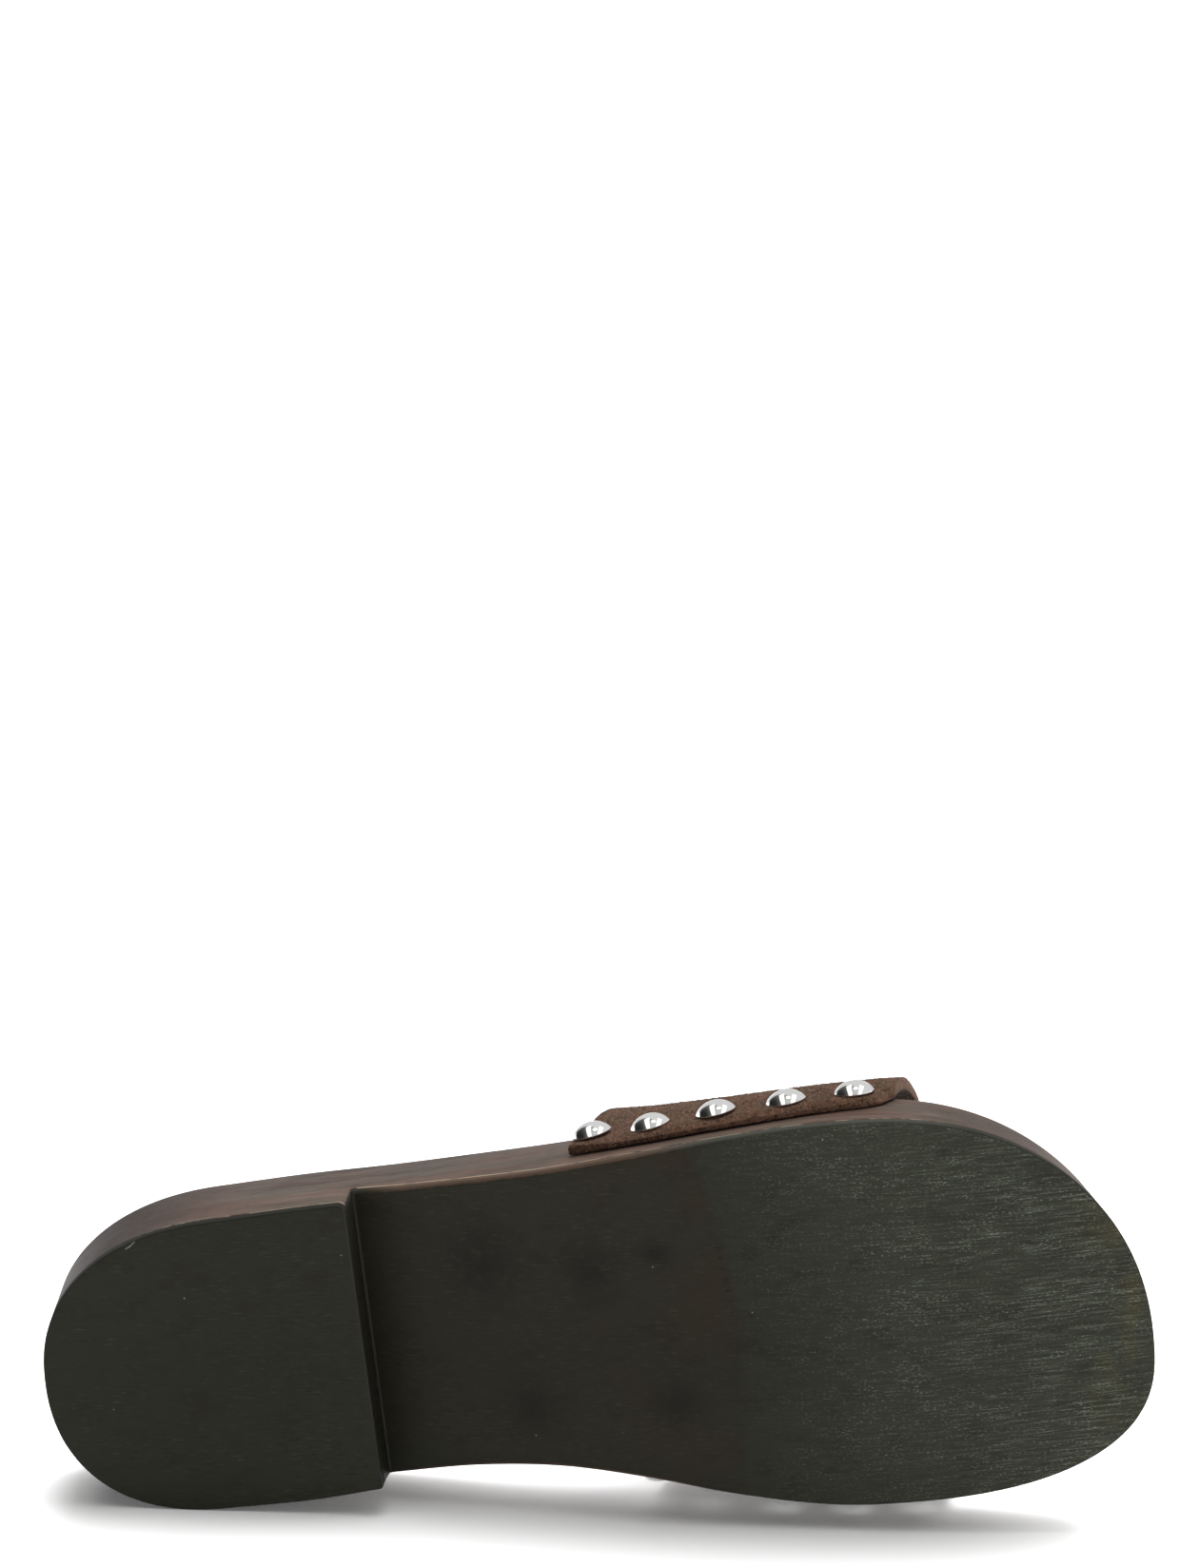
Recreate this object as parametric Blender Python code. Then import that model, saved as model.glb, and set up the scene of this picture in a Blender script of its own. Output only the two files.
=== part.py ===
"""Clog mule, right foot, size 39: a one-piece wooden base with a suede band nailed to both sides.

Every piece is drawn standing, in millimetres: x from the heel to the toe, y to the inner (medial) side,
z up from the plane under heel and ball. An empty then lays the shoe down on its inner side, where the
heel wall and the dome nails of that side touch the floor, with the sole facing -Y and the toe at +X.
"""

import math

import bmesh
import bpy
from mathutils import Matrix, Vector

MM = 0.001
GAP = 0.3  # between pieces that lie on each other

# Plan of the sole: the half widths on either side of the axis, between the round heel and the round toe.
SOLE_LENGTH = 259.6
SIDE_COLUMNS = ("station", "lateral", "medial")
SIDE_ROWS = (
    (40.0, 34.5, 34.5),
    (60.0, 36.2, 33.6),
    (80.0, 37.5, 31.4),
    (100.0, 39.4, 29.5),
    (120.0, 41.6, 29.7),
    (140.0, 44.5, 32.7),
    (160.0, 47.3, 37.3),
    (180.0, 49.3, 40.8),
    (195.0, 49.8, 41.7),
)
HEEL_ROUNDNESS = 2.3
TOE_TIP_Y = 9.0
TOE_ROUNDNESS_LATERAL = 2.1
TOE_ROUNDNESS_MEDIAL = 2.6

# Side view of the sole.
HEEL_HEIGHT = 42.0
HEEL_RAKE = 3.6  # how far the back of the heel stands out at its top
BREAST_STATION = 75.3
BREAST_SKEW = 1.7  # the breast runs this far back at the outer side, and forward at the inner side
BREAST_DRAFT = 0.3
BREAST_STEP = 13.0
WAIST_FULLNESS = 0.6  # how far the hollow of the waist bulges from a plain parabola
BALL_START = 158.0
BALL_END = 186.0
TOE_SPRING = 9.0
TOE_LEAN = 0.7  # how much of the toe spring's slope the walls of the toe lean back by
OUTSOLE_THICKNESS = 3.4
OUTSOLE_BEVEL = 0.8
LIFT_THICKNESS = 4.0
LIFT_BEVEL = 0.5

# Upper side of the wooden base: the height of its rim, and how far the footbed is dished under it.
BED_COLUMNS = ("station", "rim", "dish")
BED_ROWS = (
    (0.0, 41.5, 2.5),
    (35.0, HEEL_HEIGHT, 4.5),
    (76.0, 41.2, 4.0),
    (110.0, 37.4, 2.6),
    (145.0, 31.6, 2.2),
    (175.0, 28.4, 3.2),
    (200.0, 27.6, 3.0),
    (230.0, 28.6, 1.8),
    (SOLE_LENGTH, 30.4, 0.8),
)
RIM_RADIUS = 3.2
RIM_STEPS = 3
BASE_CHAMFER = 0.6
BED_FULLNESS = 2.6  # how flat the dish is across
BED_STEPS = 8

# The band: the stations of its rear and front edges, from the outer foot over the crown to the inner foot.
BAND_COLUMNS = ("turn", "rear", "front")
BAND_ROWS = (
    (0.0, 126.0, 199.0),
    (0.25, 134.0, 205.5),
    (0.5, 145.0, 211.0),
    (0.75, 143.0, 213.0),
    (1.0, 135.3, 208.3),
)
BAND_THICKNESS = 2.5
BAND_EDGE_LOW = 9.0  # height of its lower edge at mid length
BAND_EDGE_RISE = 4.0  # and how much higher the edge ends at the corners
BAND_CORNER = 6.0
BAND_WALL_TURN = 0.12  # share of the turn that lies flat on each side of the base
BAND_WALL_STEPS = 4
BAND_GAPE = 3.2  # how far the free edges stand off above the rim
BAND_CROWN_REAR = 78.0
BAND_CROWN_FRONT = 63.0
BAND_CROWN_SHIFT = 5.0  # the crown lies towards the inner side
BAND_TURNS = 40
BAND_STRIPS = 14
BAND_SPRING_DROP = 4.0  # the band starts to lean in this far under the rim

# Dome nails.
STUD_DIAMETER = 9.6
STUD_HEIGHT = 3.0
STUD_ABOVE_EDGE = 8.5
STUD_RINGS = 5
STUD_SIDES = 20
STUD_COLUMNS = ("lateral", "medial")
STUD_ROWS = ((131.6, 140.9), (145.3, 154.7), (160.9, 171.0), (177.5, 186.6), (193.5, 201.6))

# Spacing of the sections along the sole, and the cosine that limits a corner's reach when it is inset.
HEEL_STEPS = 10
SIDE_STEP = 7.75
TOE_STEPS = 14
SHARPEST_CORNER = 0.3

# How the shoe lies: the search for the angle between its axis and the floor.
MOST_REST_TILT = 15.0
TILT_HALVINGS = 40

# Colour, roughness and metallic value of each material.
WOOD = ((0.13, 0.085, 0.065, 1.0), 0.45, 0.0)
RUBBER = ((0.028, 0.029, 0.023, 1.0), 0.6, 0.0)
SUEDE = ((0.12, 0.065, 0.042, 1.0), 0.95, 0.0)
STEEL = ((0.8, 0.8, 0.8, 1.0), 0.12, 1.0)


def row_value(rows, columns, name, at):
    """The smooth curve through one column of a table, at a station inside it."""
    column = columns.index(name)
    xs = [row[0] for row in rows]
    ys = [row[column] for row in rows]
    at = min(max(at, xs[0]), xs[-1])
    i = max(k for k in range(len(xs) - 1) if xs[k] <= at)
    width = xs[i + 1] - xs[i]
    t = (at - xs[i]) / width
    start = ys[i] * (1 + 2 * t) * (1 - t) ** 2 + row_slope(xs, ys, i) * width * t * (1 - t) ** 2
    end = ys[i + 1] * t * t * (3 - 2 * t) + row_slope(xs, ys, i + 1) * width * t * t * (t - 1)
    return start + end


def row_slope(xs, ys, k):
    """Slope of a table's curve at one of its rows; the last row, where the round toe starts, is level."""
    if k == len(xs) - 1:
        return 0.0
    before = max(k - 1, 0)
    return (ys[k + 1] - ys[before]) / (xs[k + 1] - xs[before])


def round_end(share, roundness):
    """Half width of a round end, as a share, from 0 at its root to 1 at its tip."""
    share = min(max(share, 0.0), 1.0)
    return (1 - share**roundness) ** (1 / roundness)


def side_y(x, side):
    """y of the sole's outline on one side: side is "lateral" or "medial"."""
    sign = 1.0 if side == "medial" else -1.0
    first = SIDE_ROWS[0]
    last = SIDE_ROWS[-1]
    column = SIDE_COLUMNS.index(side)
    if x < first[0]:
        flare = (SIDE_ROWS[1][column] - first[column]) / (SIDE_ROWS[1][0] - first[0])
        width = first[column] - flare * first[0]
        return sign * (width * round_end(1 - x / first[0], HEEL_ROUNDNESS) + flare * x)
    if x > last[0]:
        roundness = TOE_ROUNDNESS_MEDIAL if side == "medial" else TOE_ROUNDNESS_LATERAL
        reach = sign * last[column] - TOE_TIP_Y
        share = (x - last[0]) / (SOLE_LENGTH - last[0])
        return TOE_TIP_Y + reach * round_end(share, roundness)
    return sign * row_value(SIDE_ROWS, SIDE_COLUMNS, side, x)


def tread_z(x):
    """Height of the outsole's underside: the hollow waist, the flat ball and the toe spring."""
    if x < BALL_START:
        t = min(max((x - BREAST_STATION) / (BALL_START - BREAST_STATION), 0.0), 1.0)
        return BREAST_STEP * (1 - t) ** 2 * (1 + WAIST_FULLNESS * t)
    return TOE_SPRING * max((x - BALL_END) / (SOLE_LENGTH - BALL_END), 0.0) ** 2


def tread_slope(x):
    """Slope of the toe spring."""
    return 2 * TOE_SPRING * max(x - BALL_END, 0.0) / (SOLE_LENGTH - BALL_END) ** 2


def leaning(x, y, z):
    """A point of the sole's wall, which leans back at the toe and rakes out behind the heel as it rises."""
    toe = TOE_LEAN * tread_slope(x) * (z - tread_z(x))
    heel = HEEL_RAKE * max(1 - x / SIDE_ROWS[0][0], 0.0) * z / HEEL_HEIGHT
    return Vector((x - toe - heel, y, z))


def rim_z(x):
    return row_value(BED_ROWS, BED_COLUMNS, "rim", x)


def heel_stations():
    root = SIDE_ROWS[0][0]
    return [root * (1 - math.cos(math.pi / 2 * k / HEEL_STEPS)) for k in range(HEEL_STEPS)]


def side_stations(start, end):
    count = max(1, round((end - start) / SIDE_STEP))
    return [start + (end - start) * k / count for k in range(count)]


def toe_stations():
    root = SIDE_ROWS[-1][0]
    reach = SOLE_LENGTH - root
    return [root + reach * math.sin(math.pi / 2 * k / TOE_STEPS) for k in range(TOE_STEPS + 1)]


def rung(station):
    """The two outline points of one section. Sections near the breast are skewed as it is."""
    near = max(0.0, 1 - abs(station - BREAST_STATION) / SIDE_ROWS[0][0])
    skew = BREAST_SKEW * near
    outer = station - skew
    inner = station + skew
    return (outer, side_y(outer, "lateral")), (inner, side_y(inner, "medial"))


def rungs_of(stations):
    return [rung(station) for station in stations]


def loop_of(rungs):
    """The outline through the rungs: along the outer side, then back along the inner side."""
    outer = [pair[0] for pair in rungs]
    inner = [pair[1] for pair in reversed(rungs) if pair[0] != pair[1]]
    return outer + inner


def inset(loop, distance):
    """The outline moved inwards, with its corners kept."""
    moved = []
    for k, point in enumerate(loop):
        here = Vector(point)
        before = (here - Vector(loop[k - 1])).normalized()
        after = (Vector(loop[(k + 1) % len(loop)]) - here).normalized()
        normal_before = Vector((-before.y, before.x))
        normal_after = Vector((-after.y, after.x))
        middle = (normal_before + normal_after).normalized()
        reach = distance / max(middle.dot(normal_after), SHARPEST_CORNER)
        # The outline runs heel to toe on the -y side, so its left-hand normal points into the sole.
        moved.append(here + middle * reach)
    return moved


def principled(name, look):
    colour, roughness, metallic = look
    material = bpy.data.materials.new(name)
    material.use_nodes = True
    shader = material.node_tree.nodes["Principled BSDF"]
    shader.inputs["Base Color"].default_value = colour
    shader.inputs["Roughness"].default_value = roughness
    shader.inputs["Metallic"].default_value = metallic
    return material


def add_piece(name, mesh_maker, material, parent, smooth_angle=30.0):
    """One named object from a bmesh in millimetres, under the empty that lays the shoe down."""
    bm = bmesh.new()
    mesh_maker(bm)
    bmesh.ops.scale(bm, vec=(MM, MM, MM), verts=bm.verts)
    bmesh.ops.recalc_face_normals(bm, faces=bm.faces)
    mesh = bpy.data.meshes.new(name)
    bm.to_mesh(mesh)
    bm.free()
    mesh.materials.append(material)
    mesh.shade_smooth()
    mesh.set_sharp_from_angle(angle=math.radians(smooth_angle))
    piece = bpy.data.objects.new(name, mesh)
    piece.parent = parent
    bpy.context.collection.objects.link(piece)
    return piece


def wall_between(bm, lower, upper):
    """Quads between two rings of the same number of points."""
    count = len(lower)
    for k in range(count):
        following = (k + 1) % count
        bm.faces.new((lower[k], lower[following], upper[following], upper[k]))


def ladder(bm, ring, rungs, heights=None, steps=1):
    """Closes a ring with a ladder of quads over its rungs. heights gives z at the points inside a rung."""
    opposite = {k: k for k in range(len(rungs))}
    place = len(ring) - 1
    for k, pair in enumerate(rungs):
        if pair[0] != pair[1]:
            opposite[k] = place - sum(1 for p in rungs[:k] if p[0] != p[1])
    rows = []
    for k in range(len(rungs)):
        start = ring[k]
        end = ring[opposite[k]]
        row = [start]
        if start is not end:
            for step in range(1, steps):
                share = step / steps
                point = start.co.lerp(end.co, share)
                if heights:
                    point.z -= heights(point.x, 2 * share - 1)
                row.append(bm.verts.new(point))
            row.append(end)
        rows.append(row)
    for near, far in zip(rows, rows[1:]):
        for step in range(steps):
            a = near[min(step, len(near) - 1)]
            b = near[min(step + 1, len(near) - 1)]
            c = far[min(step + 1, len(far) - 1)]
            d = far[min(step, len(far) - 1)]
            bm.faces.new(dict.fromkeys((a, b, c, d)))


def new_ring(bm, loop, height):
    """A ring of vertices over an outline; height gives z at the outline's own station."""
    return [bm.verts.new(leaning(x, y, height(k))) for k, (x, y) in enumerate(loop)]


def make_base(bm):
    """The wooden base: heel block, breast, hollow waist, ball and toe, a rounded rim and a dished bed."""
    breast = BREAST_STATION
    stations = heel_stations()
    stations += side_stations(SIDE_ROWS[0][0], breast)
    stations += [breast]
    stations += side_stations(breast + BREAST_DRAFT, SIDE_ROWS[-1][0])
    stations += toe_stations()
    rungs = rungs_of(stations)
    loop = loop_of(rungs)
    way_back = zip(reversed(stations), reversed(rungs))
    station_of = stations + [station for station, pair in way_back if pair[0] != pair[1]]

    def under(k):
        if station_of[k] <= breast:
            return LIFT_THICKNESS + GAP
        return tread_z(loop[k][0]) + OUTSOLE_THICKNESS + GAP

    def rim(k):
        return rim_z(loop[k][0])

    rings = [
        new_ring(bm, inset(loop, BASE_CHAMFER), under),
        new_ring(bm, loop, lambda k: under(k) + BASE_CHAMFER),
        new_ring(bm, loop, lambda k: rim(k) - RIM_RADIUS),
    ]
    for step in range(1, RIM_STEPS + 1):
        angle = math.pi / 2 * step / RIM_STEPS
        set_in = RIM_RADIUS * (1 - math.cos(angle))
        drop = RIM_RADIUS * (1 - math.sin(angle))
        rings.append(new_ring(bm, inset(loop, set_in), lambda k: rim(k) - drop))
    for lower, upper in zip(rings, rings[1:]):
        wall_between(bm, lower, upper)

    def bed_drop(x, across):
        return row_value(BED_ROWS, BED_COLUMNS, "dish", x) * (1 - abs(across) ** BED_FULLNESS)

    ladder(bm, rings[0], rungs)
    ladder(bm, rings[-1], rungs, bed_drop, BED_STEPS)


def make_sheet(bm, stations, low, thickness, bevel):
    """A rubber sheet under the wood, its lower edge bevelled. low gives the height of its underside."""
    rungs = rungs_of(stations)
    loop = loop_of(rungs)
    rings = [
        new_ring(bm, inset(loop, bevel), lambda k: low(loop[k][0])),
        new_ring(bm, loop, lambda k: low(loop[k][0]) + bevel),
        new_ring(bm, loop, lambda k: low(loop[k][0]) + thickness),
    ]
    for lower, upper in zip(rings, rings[1:]):
        wall_between(bm, lower, upper)
    ladder(bm, rings[0], rungs)
    ladder(bm, rings[-1], rungs)


def make_outsole(bm):
    start = BREAST_STATION + BREAST_DRAFT + GAP
    stations = side_stations(start, SIDE_ROWS[-1][0]) + toe_stations()
    make_sheet(bm, stations, tread_z, OUTSOLE_THICKNESS, OUTSOLE_BEVEL)


def make_lift(bm):
    stations = heel_stations() + side_stations(SIDE_ROWS[0][0], BREAST_STATION) + [BREAST_STATION]
    make_sheet(bm, stations, lambda x: 0.0, LIFT_THICKNESS, LIFT_BEVEL)


def band_edge_z(along):
    """Height of the band's lower edge, from 0 at its rear corner to 1 at its front corner."""
    return BAND_EDGE_LOW + BAND_EDGE_RISE * (2 * along - 1) ** 2


def corner_trim(height):
    """How far the front lower corner is rounded off, at a height above the lower edge."""
    if height >= BAND_CORNER:
        return 0.0
    return BAND_CORNER - math.sqrt(BAND_CORNER**2 - (BAND_CORNER - height) ** 2)


def band_point(turn, along, off):
    """A point of the band, off millimetres outside the base: turn goes over the foot, along forward."""
    rear = row_value(BAND_ROWS, BAND_COLUMNS, "rear", turn)
    front = row_value(BAND_ROWS, BAND_COLUMNS, "front", turn)
    from_foot = min(turn, 1 - turn)
    mid = rear + (front - rear) * along
    spring = rim_z(mid) - BAND_SPRING_DROP
    low = band_edge_z(along)
    if from_foot < BAND_WALL_TURN:
        share = from_foot / BAND_WALL_TURN
        front -= corner_trim(share * (spring - low))
    x = rear + (front - rear) * along
    outer = side_y(x, "lateral") - off
    inner = side_y(x, "medial") + off
    if from_foot < BAND_WALL_TURN:
        return Vector((x, outer if turn < 0.5 else inner, low + (spring - low) * share))
    angle = math.pi * (turn - BAND_WALL_TURN) / (1 - 2 * BAND_WALL_TURN)
    crown_y = (outer + inner) / 2 + BAND_CROWN_SHIFT
    rise = BAND_CROWN_REAR + (BAND_CROWN_FRONT - BAND_CROWN_REAR) * along + off - spring
    reach = (outer if angle < math.pi / 2 else inner) - crown_y
    gape = BAND_GAPE * (2 * along - 1) ** 2 * abs(math.sin(2 * angle))
    y = crown_y + (reach + math.copysign(gape, reach)) * abs(math.cos(angle))
    return Vector((x, y, spring + rise * math.sin(angle)))


def band_turns():
    """Turns of the band's sections: a few on each side wall, the rest over the arch."""
    wall = [BAND_WALL_TURN * k / BAND_WALL_STEPS for k in range(BAND_WALL_STEPS)]
    arch = [BAND_WALL_TURN + (1 - 2 * BAND_WALL_TURN) * k / BAND_TURNS for k in range(BAND_TURNS + 1)]
    return wall + arch + [1 - t for t in reversed(wall)]


def make_band(bm):
    """The upper: one band of suede with its full thickness, open at heel, toe and underneath."""
    turns = band_turns()
    skins = []
    for off in (GAP, GAP + BAND_THICKNESS):
        skins.append(
            [
                [bm.verts.new(band_point(turn, k / BAND_STRIPS, off)) for k in range(BAND_STRIPS + 1)]
                for turn in turns
            ]
        )
    inside, outside = skins
    for skin in skins:
        for row, following in zip(skin, skin[1:]):
            for k in range(BAND_STRIPS):
                bm.faces.new((row[k], row[k + 1], following[k + 1], following[k]))
    for row in range(len(turns) - 1):
        for edge in (0, BAND_STRIPS):
            inner = (inside[row][edge], inside[row + 1][edge])
            outer = (outside[row + 1][edge], outside[row][edge])
            bm.faces.new(inner + outer)
    for foot in (0, -1):
        for k in range(BAND_STRIPS):
            inner = (inside[foot][k], inside[foot][k + 1])
            outer = (outside[foot][k + 1], outside[foot][k])
            bm.faces.new(inner + outer)


def band_along(side, station):
    """How far along the band a station on its side wall lies, from 0 at the rear to 1 at the front."""
    foot = BAND_ROWS[0] if side == "lateral" else BAND_ROWS[-1]
    return (station - foot[1]) / (foot[2] - foot[1])


def stud_seat(side, station):
    """Where a nail sits on the band's side wall, and the direction that it faces."""
    sign = 1.0 if side == "medial" else -1.0
    off = GAP + BAND_THICKNESS + GAP
    step = 1.0
    ahead = side_y(station + step, side) - side_y(station - step, side)
    facing = Vector((-sign * ahead, sign * 2 * step, 0.0)).normalized()
    z = band_edge_z(band_along(side, station)) + STUD_ABOVE_EDGE
    return Vector((station, side_y(station, side), z)) + facing * off, facing


def make_stud(seat, facing):
    """A domed nail head: a round cap on a flat back."""
    radius = STUD_DIAMETER / 2
    ball = (radius**2 + STUD_HEIGHT**2) / (2 * STUD_HEIGHT)
    sweep = math.asin(radius / ball)

    def build(bm):
        profile = [bm.verts.new((0.0, 0.0, 0.0))]
        for k in range(STUD_RINGS + 1):
            angle = sweep * (1 - k / STUD_RINGS)
            out = ball * math.sin(angle)
            profile.append(bm.verts.new((out, 0.0, ball * math.cos(angle) - ball + STUD_HEIGHT)))
        edges = [bm.edges.new(pair) for pair in zip(profile, profile[1:])]
        bmesh.ops.spin(
            bm,
            geom=profile + edges,
            axis=(0, 0, 1),
            cent=(0, 0, 0),
            steps=STUD_SIDES,
            angle=math.tau,
            use_merge=True,
        )
        bmesh.ops.remove_doubles(bm, verts=bm.verts, dist=1e-4)
        turn = facing.to_track_quat("Z", "Y").to_matrix()
        bmesh.ops.rotate(bm, verts=bm.verts, matrix=turn, cent=(0, 0, 0))
        bmesh.ops.translate(bm, verts=bm.verts, vec=seat)

    return build


def rest_tilt():
    """The angle at which the inner heel wall and the inner nails stand on one level."""
    heel = [(x, side_y(x, "medial")) for x in range(0, round(BREAST_STATION))]
    nails = []
    for _, station in STUD_ROWS:
        seat, facing = stud_seat("medial", station)
        tip = seat + facing * STUD_HEIGHT
        nails.append((tip.x, tip.y))

    def lowest(points, angle):
        return min(x * math.sin(angle) - y * math.cos(angle) for x, y in points)

    low = 0.0
    high = math.radians(MOST_REST_TILT)
    for _ in range(TILT_HALVINGS):
        middle = (low + high) / 2
        if lowest(nails, middle) < lowest(heel, middle):
            low = middle
        else:
            high = middle
    return middle


def lay_down(rest, pieces):
    """Turns the standing shoe onto its inner side and sets its box on the origin, bottom at z = 0."""
    turn = Matrix.Rotation(-rest_tilt(), 4, "Y") @ Matrix.Rotation(-math.pi / 2, 4, "X")
    points = [turn @ vertex.co for piece in pieces for vertex in piece.data.vertices]
    low = [min(point[k] for point in points) for k in range(3)]
    high = [max(point[k] for point in points) for k in range(3)]
    place = Vector((-(low[0] + high[0]) / 2, -(low[1] + high[1]) / 2, -low[2]))
    rest.matrix_world = Matrix.Translation(place) @ turn


def build():
    for old in list(bpy.data.objects):
        bpy.data.objects.remove(old)
    wood = principled("stained_wood", WOOD)
    rubber = principled("dark_rubber", RUBBER)
    suede = principled("brown_suede", SUEDE)
    steel = principled("polished_steel", STEEL)
    rest = bpy.data.objects.new("rest", None)
    bpy.context.collection.objects.link(rest)
    pieces = [
        add_piece("clog_base", make_base, wood, rest),
        add_piece("outsole", make_outsole, rubber, rest),
        add_piece("heel_lift", make_lift, rubber, rest),
        add_piece("strap", make_band, suede, rest),
    ]
    for side in STUD_COLUMNS:
        column = STUD_COLUMNS.index(side)
        for number, row in enumerate(STUD_ROWS, start=1):
            seat, facing = stud_seat(side, row[column])
            pieces.append(add_piece(f"stud_{side}_{number}", make_stud(seat, facing), steel, rest))
    lay_down(rest, pieces)


build()
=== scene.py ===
import math
import random

import bmesh
import bpy
from mathutils import Matrix, Vector, noise


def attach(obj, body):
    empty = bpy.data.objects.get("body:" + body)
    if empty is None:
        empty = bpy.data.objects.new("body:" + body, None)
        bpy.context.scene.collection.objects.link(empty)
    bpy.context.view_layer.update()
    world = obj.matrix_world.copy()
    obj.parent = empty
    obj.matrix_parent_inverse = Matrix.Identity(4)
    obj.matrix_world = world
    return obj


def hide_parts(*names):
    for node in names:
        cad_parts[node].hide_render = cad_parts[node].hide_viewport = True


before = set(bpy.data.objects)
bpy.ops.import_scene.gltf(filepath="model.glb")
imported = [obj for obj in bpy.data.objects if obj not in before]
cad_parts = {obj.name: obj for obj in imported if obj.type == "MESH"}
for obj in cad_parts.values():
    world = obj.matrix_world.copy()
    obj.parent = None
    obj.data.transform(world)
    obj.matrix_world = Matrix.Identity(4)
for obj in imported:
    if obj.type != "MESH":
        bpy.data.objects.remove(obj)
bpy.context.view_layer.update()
print("frame loaded:", ", ".join(sorted(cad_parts)))

mm = 0.001

# The shoe as it stands, in millimetres: x from heel to toe, y to the inner side, z up from the floor.
last = {
    "length": 259.9,
    "sides": (  # station, outer and inner half width
        (40.0, 34.5, 34.5),
        (60.0, 36.2, 33.6),
        (80.0, 37.5, 31.4),
        (100.0, 39.4, 29.5),
        (120.0, 41.6, 29.7),
        (140.0, 44.5, 32.7),
        (160.0, 47.3, 37.3),
        (180.0, 49.3, 40.8),
        (195.0, 49.8, 41.7),
    ),
    "heelBack": -0.45,
    "heelRoundness": 2.24,
    "toeTip": 9.0,
    "toeRoundness": {"outer": 2.15, "inner": 2.6},
    "heelHeight": 42.0,
    "heelRake": 3.6,
    "breast": 75.75,
    "breastSkew": 1.8,
    "breastHalf": 35.0,  # half the heel's width there
    "breastStep": 13.0,
    "breastCorner": {"outer": 2.2, "inner": 0.7},  # how round the heel's front corners are
    "waistFullness": 0.6,
    "ballStart": 158.0,
    "ballEnd": 186.0,
    "toeSpring": 9.0,
    "toeLean": 0.9,
    "bed": (  # station, height of the rim, depth of the dish
        (0.0, 41.5, 2.5),
        (35.0, 42.0, 4.5),
        (76.0, 41.2, 4.0),
        (110.0, 37.4, 2.6),
        (145.0, 31.6, 2.2),
        (175.0, 28.4, 3.2),
        (200.0, 27.6, 3.0),
        (230.0, 28.6, 1.8),
        (259.9, 30.4, 0.8),
    ),
    "bedFullness": 2.6,
    "outsole": 3.4,
    "lift": 4.0,
}

# It lies on its inner side, on the heel's wall and on the nails.
lying = {"tilt": 4.83464, "shift": (-128.0805, -40.4, 31.6545)}
turned = Matrix.Rotation(-math.radians(lying["tilt"]), 4, "Y") @ Matrix.Rotation(-math.pi / 2, 4, "X")
toRow = Matrix.Scale(mm, 4) @ Matrix.Translation(lying["shift"]) @ turned


def rowSlope(rows, column, k):
    if k == len(rows) - 1:
        return 0.0
    before = max(k - 1, 0)
    return (rows[k + 1][column] - rows[before][column]) / (rows[k + 1][0] - rows[before][0])


def smoothRow(rows, column, at):  # the smooth curve through one column of a table
    at = min(max(at, rows[0][0]), rows[-1][0])
    i = max(k for k in range(len(rows) - 1) if rows[k][0] <= at)
    width = rows[i + 1][0] - rows[i][0]
    t = (at - rows[i][0]) / width
    start = rows[i][column] * (1 + 2 * t) + rowSlope(rows, column, i) * width * t
    end = rows[i + 1][column] * (3 - 2 * t) + rowSlope(rows, column, i + 1) * width * (t - 1)
    return start * (1 - t) ** 2 + end * t * t


def roundEnd(share, roundness):
    share = min(max(share, 0.0), 1.0)
    return (1 - share**roundness) ** (1 / roundness)


def sideY(x, side):
    sign = 1 if side == "inner" else -1
    column = 2 if side == "inner" else 1
    rows = last["sides"]
    root = rows[0][0]
    if x < root:
        flare = (rows[1][column] - rows[0][column]) / (rows[1][0] - root)
        width = rows[0][column] - flare * root
        share = (root - x) / (root - last["heelBack"])
        return sign * (width * roundEnd(share, last["heelRoundness"]) + flare * x)
    if x > rows[-1][0]:
        reach = sign * rows[-1][column] - last["toeTip"]
        share = (x - rows[-1][0]) / (last["length"] - rows[-1][0])
        return last["toeTip"] + reach * roundEnd(share, last["toeRoundness"][side])
    return sign * smoothRow(rows, column, x)


def treadZ(x):  # the underside: hollow waist, flat ball, toe spring
    if x < last["ballStart"]:
        t = min(max((x - last["breast"]) / (last["ballStart"] - last["breast"]), 0.0), 1.0)
        return last["breastStep"] * (1 - t) ** 2 * (1 + last["waistFullness"] * t)
    return last["toeSpring"] * max((x - last["ballEnd"]) / (last["length"] - last["ballEnd"]), 0.0) ** 2


def leaning(x, y, z):  # the walls lean back at the toe and rake out behind the heel
    spring = last["length"] - last["ballEnd"]
    slope = 2 * last["toeSpring"] * max(x - last["ballEnd"], 0.0) / spring**2
    toe = last["toeLean"] * slope * (z - treadZ(x))
    heel = last["heelRake"] * max(1 - x / last["sides"][0][0], 0.0) * z / last["heelHeight"]
    return Vector((x - toe - heel, y, z))


def rimZ(x):
    return smoothRow(last["bed"], 1, x)


def dishDepth(x):
    return smoothRow(last["bed"], 2, x)


# Sections round the heel, the toe and a corner, and the millimetres between the others
sections = {"heel": 34, "toe": 52, "corner": 6, "step": 2.6}


def stretch(start, end):  # evenly spaced stations, the end left out
    count = max(1, round((end - start) / sections["step"]))
    return [start + (end - start) * k / count for k in range(count)]


def heelStations():
    count = sections["heel"]
    back = last["heelBack"]
    reach = last["sides"][0][0] - back
    return [back + reach * (1 - math.cos(math.pi / 2 * k / count)) for k in range(count)]


def toeStations():
    count = sections["toe"]
    root = last["sides"][-1][0]
    reach = last["length"] - root
    return [root + reach * math.sin(math.pi / 2 * k / count) for k in range(count + 1)]


def cornerStations(end, radius):  # crowded towards a rounded corner
    count = sections["corner"]
    return [end - radius + radius * math.sin(math.pi / 2 * k / count) for k in range(count + 1)]


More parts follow.
